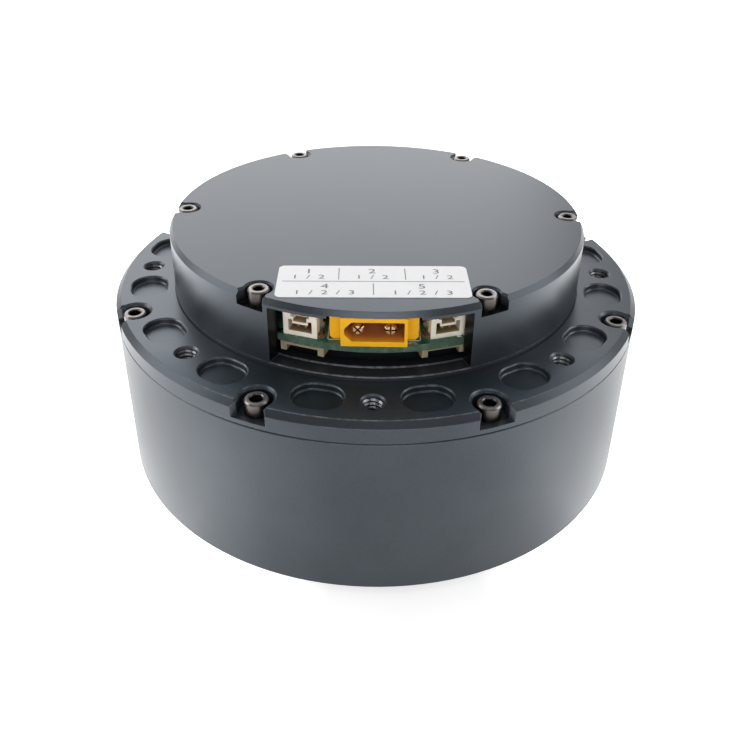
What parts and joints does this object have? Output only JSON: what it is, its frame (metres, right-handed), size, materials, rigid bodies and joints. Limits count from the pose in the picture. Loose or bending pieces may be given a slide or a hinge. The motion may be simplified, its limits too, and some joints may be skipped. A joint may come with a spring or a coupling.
{
  "type": "robot joint actuator",
  "caption": "Flat round joint actuator: ring motor round a planetary gearbox, driver board under the rear cover, connectors in a side window.",
  "frame": {"origin": "on the rotation axis, in the plane of the output face", "axes": "+Z along the rotation axis towards the rear cover; the connector window faces -Y; +X to the right seen from the connectors"},
  "size_m": [0.096, 0.096, 0.0461],
  "materials": {
    "anodised_dark": "satin dark blue-grey anodised, turned",
    "screw_steel": "blackened alloy steel",
    "lamination_steel": "stacked electrical steel",
    "copper_winding": "enamelled copper wire",
    "lead_jacket": "silicone jacket",
    "rubber_black": "matt",
    "gear_steel": "ground and hardened",
    "bearing_steel": "polished",
    "bronze": "sintered",
    "magnet_nickel": "nickel plated",
    "board_green": "green solder mask",
    "connector_yellow": "moulded nylon",
    "contact_gold": "gold plated",
    "header_ivory": "moulded nylon",
    "header_tan": "moulded nylon",
    "chip_black": "moulded epoxy",
    "capacitor_body": "ceramic",
    "thermal_grey": "soft gap filler",
    "standoff_brass": "turned",
    "solder_tin": "tinned",
    "label_white": "printed film"
  },
  "bodies": {
    "housing": {"housing": "anodised_dark", "rear_flange": "anodised_dark", "rear_cover": "anodised_dark", "flange_screws": "screw_steel", "cover_screws": "screw_steel", "stator_core": "lamination_steel", "stator_windings": "copper_winding", "phase_leads": "lead_jacket", "lead_grommet": "rubber_black", "ring_gear": "gear_steel", "ring_gear_screws": "screw_steel", "output_bearing_outer": "bearing_steel", "output_bearing_rollers": "bearing_steel", "bearing_retainer": "anodised_dark", "retainer_screws": "screw_steel", "output_seal": "rubber_black", "rear_bearing_outer": "bearing_steel", "rear_bearing_balls": "bearing_steel", "driver_board": "board_green", "board_standoffs": "standoff_brass", "board_screws": "screw_steel", "power_connector": "connector_yellow", "power_pins": "contact_gold", "signal_header_left": "header_ivory", "signal_header_right": "header_ivory", "header_tabs": "solder_tin", "signal_pins": "contact_gold", "lower_header_left": "header_tan", "lower_header_right": "header_tan", "lower_contacts": "contact_gold", "power_transistors": "chip_black", "thermal_pad": "thermal_grey", "encoder_chip": "chip_black", "controller_chips": "chip_black", "board_capacitors": "capacitor_body", "port_label": "label_white"},
    "output": {"output_flange": "anodised_dark", "carrier_plate": "gear_steel", "planet_pins": "bearing_steel", "carrier_screws": "screw_steel", "bearing_clamp_ring": "gear_steel", "output_bearing_inner": "bearing_steel", "pilot_bearing_outer": "bearing_steel", "pilot_bearing_balls": "bearing_steel"},
    "rotor": {"rotor_shaft": "gear_steel", "rotor_yoke": "gear_steel", "rotor_magnets": "magnet_nickel", "rotor_screws": "screw_steel", "sun_gear": "gear_steel", "encoder_magnet": "magnet_nickel", "rear_bearing_inner": "bearing_steel", "pilot_bearing_inner": "bearing_steel"},
    "planet_1": {"planet_gear_1": "gear_steel", "planet_bush_1": "bronze"},
    "planet_2": {"planet_gear_2": "gear_steel", "planet_bush_2": "bronze"},
    "planet_3": {"planet_gear_3": "gear_steel", "planet_bush_3": "bronze"}
  },
  "joints": [
    {"name": "output_spin", "type": "hinge", "parent": "housing", "child": "output", "pos_m": [0, 0, 0.005], "axis": [0, 0, 1], "continuous": true},
    {"name": "rotor_spin", "type": "hinge", "parent": "housing", "child": "rotor", "pos_m": [0, 0, 0.02], "axis": [0, 0, 1], "continuous": true},
    {"name": "planet_1_spin", "type": "hinge", "parent": "output", "child": "planet_1", "pos_m": [0.0135, 0, 0.018], "axis": [0, 0, 1], "continuous": true},
    {"name": "planet_2_spin", "type": "hinge", "parent": "output", "child": "planet_2", "pos_m": [-0.00675, 0.01169, 0.018], "axis": [0, 0, 1], "continuous": true},
    {"name": "planet_3_spin", "type": "hinge", "parent": "output", "child": "planet_3", "pos_m": [-0.00675, -0.01169, 0.018], "axis": [0, 0, 1], "continuous": true}
  ],
  "couplings": [
    {"joint": "rotor_spin", "follows": "output_spin", "ratio": 6},
    {"joint": "planet_1_spin", "follows": "output_spin", "ratio": -2.5},
    {"joint": "planet_2_spin", "follows": "output_spin", "ratio": -2.5},
    {"joint": "planet_3_spin", "follows": "output_spin", "ratio": -2.5}
  ]
}
